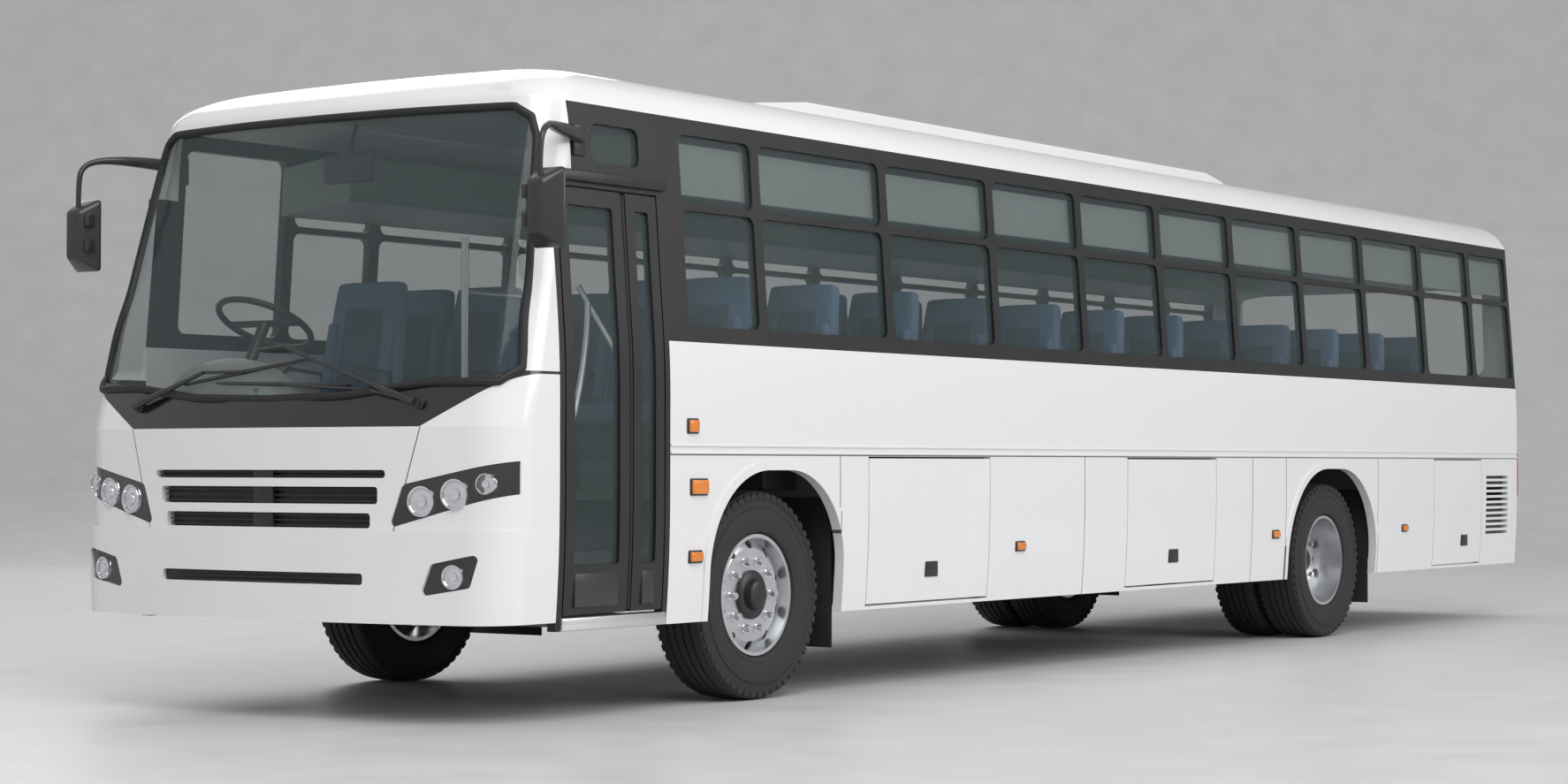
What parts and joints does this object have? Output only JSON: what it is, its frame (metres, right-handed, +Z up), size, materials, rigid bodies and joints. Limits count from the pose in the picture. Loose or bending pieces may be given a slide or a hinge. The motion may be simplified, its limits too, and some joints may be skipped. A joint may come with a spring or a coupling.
{
  "type": "passenger bus",
  "caption": "Twelve-metre passenger bus with glazed sides, hinged entrance doors, luggage lids, engine lid, steered front wheels and twin rear wheels.",
  "frame": {"origin": "on the ground under the middle of the bus's bounding box", "axes": "+X to the bus's left, -Y to its front, +Z up"},
  "size_m": [3.0376, 12.0719, 3.0078],
  "materials": {
    "body_white": "gloss white paint",
    "black_trim": "satin black",
    "tinted_glass": "tinted",
    "lamp_glass": "clear lens",
    "tail_lens": "red lens",
    "tyre": "rubber",
    "wheel_silver": "silver",
    "chassis_black": "black paint",
    "floor_grey": "grey vinyl",
    "interior_grey": "grey plastic",
    "seat_blue": "woven blue",
    "steel_rail": "satin",
    "rubber_black": "matt"
  },
  "bodies": {
    "body": {"cross_members": "chassis_black", "dashboard": "interior_grey", "driver_seat": "seat_blue", "engine": "chassis_black", "entrance_frame": "black_trim", "entrance_steps": "floor_grey", "floor": "floor_grey", "frame_rails": "chassis_black", "front_axle": "chassis_black", "front_bumper": "body_white", "front_cap": "body_white", "front_panel": "body_white", "grab_rails": "steel_rail", "grille_mesh": "black_trim", "headlamps": "lamp_glass", "leaf_springs": "chassis_black", "left_side_panel": "body_white", "left_window_frame": "black_trim", "luggage_bays": "floor_grey", "mirrors": "black_trim", "mud_flaps": "rubber_black", "outriggers": "chassis_black", "overhead_ducts": "interior_grey", "passenger_seats": "seat_blue", "quarter_window": "tinted_glass", "rear_axle": "chassis_black", "rear_cap": "body_white", "rear_panel": "body_white", "rear_window": "tinted_glass", "right_side_panel": "body_white", "right_window_frame": "black_trim", "roof": "body_white", "roof_unit": "body_white", "side_windows": "tinted_glass", "steering_wheel": "black_trim", "tail_lamps": "tail_lens", "tow_plate": "chassis_black", "windscreen": "tinted_glass", "windscreen_frame": "body_white", "wipers": "black_trim"},
    "left_knuckle": {"left_knuckle": "chassis_black"},
    "right_knuckle": {"right_knuckle": "chassis_black"},
    "left_front_wheel_set": {"left_front_wheel": "wheel_silver", "left_front_tyre": "tyre"},
    "right_front_wheel_set": {"right_front_wheel": "wheel_silver", "right_front_tyre": "tyre"},
    "left_rear_wheel_set": {"left_rear_wheel": "wheel_silver", "left_rear_tyre": "tyre"},
    "right_rear_wheel_set": {"right_rear_wheel": "wheel_silver", "right_rear_tyre": "tyre"},
    "front_door_leaf": {"front_door": "black_trim", "front_door_glass": "tinted_glass"},
    "rear_door_leaf": {"rear_door": "black_trim", "rear_door_glass": "tinted_glass"},
    "engine_lid_body": {"engine_lid": "body_white"},
    "left_front_locker_lid": {"left_front_locker": "body_white"},
    "left_middle_locker_lid": {"left_middle_locker": "body_white"},
    "left_service_lid_lid": {"left_service_lid": "body_white"},
    "right_front_locker_lid": {"right_front_locker": "body_white"},
    "right_middle_locker_lid": {"right_middle_locker": "body_white"}
  },
  "joints": [
    {"name": "left_steering", "type": "hinge", "parent": "body", "child": "left_knuckle", "pos_m": [0.9, -3.867, 0.502], "axis": [0, 0, 1], "range_deg": [-35, 35]},
    {"name": "left_front_wheel_spin", "type": "hinge", "parent": "left_knuckle", "child": "left_front_wheel_set", "pos_m": [1.08, -3.867, 0.502], "axis": [1, 0, 0], "continuous": true},
    {"name": "left_rear_wheel_spin", "type": "hinge", "parent": "body", "child": "left_rear_wheel_set", "pos_m": [0.95, 2.558, 0.502], "axis": [1, 0, 0], "continuous": true},
    {"name": "right_steering", "type": "hinge", "parent": "body", "child": "right_knuckle", "pos_m": [-0.9, -3.867, 0.502], "axis": [0, 0, 1], "range_deg": [-35, 35]},
    {"name": "right_front_wheel_spin", "type": "hinge", "parent": "right_knuckle", "child": "right_front_wheel_set", "pos_m": [-1.08, -3.867, 0.502], "axis": [1, 0, 0], "continuous": true},
    {"name": "right_rear_wheel_spin", "type": "hinge", "parent": "body", "child": "right_rear_wheel_set", "pos_m": [-0.95, 2.558, 0.502], "axis": [1, 0, 0], "continuous": true},
    {"name": "front_door_swing", "type": "hinge", "parent": "body", "child": "front_door_leaf", "pos_m": [1.3, -5.46, 1.4], "axis": [0, 0, -1], "range_deg": [0, 85]},
    {"name": "rear_door_swing", "type": "hinge", "parent": "body", "child": "rear_door_leaf", "pos_m": [1.3, -4.749, 1.4], "axis": [0, 0, 1], "range_deg": [0, 85]},
    {"name": "left_front_locker_hinge", "type": "hinge", "parent": "body", "child": "left_front_locker_lid", "pos_m": [1.3, 0, 1.16], "axis": [0, -1, 0], "range_deg": [0, 90]},
    {"name": "left_middle_locker_hinge", "type": "hinge", "parent": "body", "child": "left_middle_locker_lid", "pos_m": [1.3, 0, 1.16], "axis": [0, -1, 0], "range_deg": [0, 90]},
    {"name": "left_service_lid_hinge", "type": "hinge", "parent": "body", "child": "left_service_lid_lid", "pos_m": [1.3, 0, 1.16], "axis": [0, -1, 0], "range_deg": [0, 90]},
    {"name": "right_front_locker_hinge", "type": "hinge", "parent": "body", "child": "right_front_locker_lid", "pos_m": [-1.3, 0, 1.16], "axis": [0, 1, 0], "range_deg": [0, 90]},
    {"name": "right_middle_locker_hinge", "type": "hinge", "parent": "body", "child": "right_middle_locker_lid", "pos_m": [-1.3, 0, 1.16], "axis": [0, 1, 0], "range_deg": [0, 90]},
    {"name": "engine_lid_hinge", "type": "hinge", "parent": "body", "child": "engine_lid_body", "pos_m": [0, 6.035, 1.393], "axis": [1, 0, 0], "range_deg": [0, 80]}
  ],
  "couplings": [
    {"joint": "right_steering", "follows": "left_steering", "ratio": 1}
  ]
}
